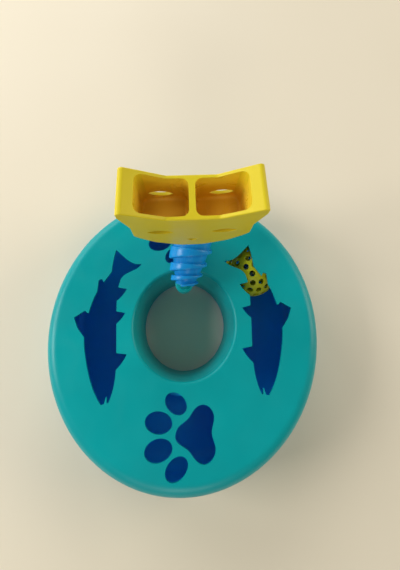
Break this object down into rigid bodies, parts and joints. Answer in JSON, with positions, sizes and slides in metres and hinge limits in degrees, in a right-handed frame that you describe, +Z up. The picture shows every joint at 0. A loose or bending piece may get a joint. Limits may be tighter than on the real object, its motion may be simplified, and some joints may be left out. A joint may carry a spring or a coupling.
{
  "type": "cat puzzle feeder",
  "caption": "Round ball track with fish and paw openings in its cover, and a cat head with two treat cups on a stepped spiral neck.",
  "frame": {"origin": "on the floor, on the axis of the ring", "axes": "+Z up, +Y to the back where the head stands, +X to the right seen from the front"},
  "size_m": [0.25, 0.25, 0.2102],
  "materials": {
    "cover_plastic": "satin moulded",
    "tray_plastic": "satin moulded",
    "neck_plastic": "glossy moulded",
    "head_plastic": "satin moulded",
    "ball_plastic": "satin moulded",
    "foot_rubber": "matte",
    "bell_steel": "bright plated",
    "steel": "zinc plated"
  },
  "bodies": {
    "base": {"cover": "cover_plastic", "tray": "tray_plastic", "foot_1": "foot_rubber", "foot_2": "foot_rubber", "foot_3": "foot_rubber", "foot_4": "foot_rubber", "foot_5": "foot_rubber", "foot_6": "foot_rubber", "tray_screw_1": "steel", "tray_screw_2": "steel", "tray_screw_3": "steel", "tray_screw_4": "steel"},
    "ball": {"ball_upper": "ball_plastic", "ball_lower": "ball_plastic", "bell": "bell_steel", "bell_pellet": "steel"},
    "knuckle": {"knuckle": "cover_plastic", "knuckle_washer": "steel", "knuckle_screw": "steel"},
    "neck": {"neck": "neck_plastic", "hinge_pin": "steel", "swivel_washer": "steel", "swivel_screw": "steel"},
    "head": {"head_shell": "head_plastic", "head_back": "head_plastic", "head_screw_1": "steel", "head_screw_2": "steel", "head_screw_3": "steel"}
  },
  "joints": [
    {"name": "ball_orbit", "type": "hinge", "parent": "base", "child": "ball", "pos_m": [0, 0, 0.0318], "axis": [0, 0, 1], "continuous": true},
    {"name": "neck_swing", "type": "hinge", "parent": "base", "child": "knuckle", "pos_m": [0.0005, 0.0348, 0.064], "axis": [0, 0, 1], "range_deg": [-30, 30]},
    {"name": "neck_tilt", "type": "hinge", "parent": "knuckle", "child": "neck", "pos_m": [0.0005, 0.0348, 0.08], "axis": [0.9781, -0.2079, 0], "range_deg": [-2, 70]},
    {"name": "head_swivel", "type": "hinge", "parent": "neck", "child": "head", "pos_m": [0.0079, 0.0815, 0.1176], "axis": [0, 0, 1], "range_deg": [-35, 35]}
  ]
}
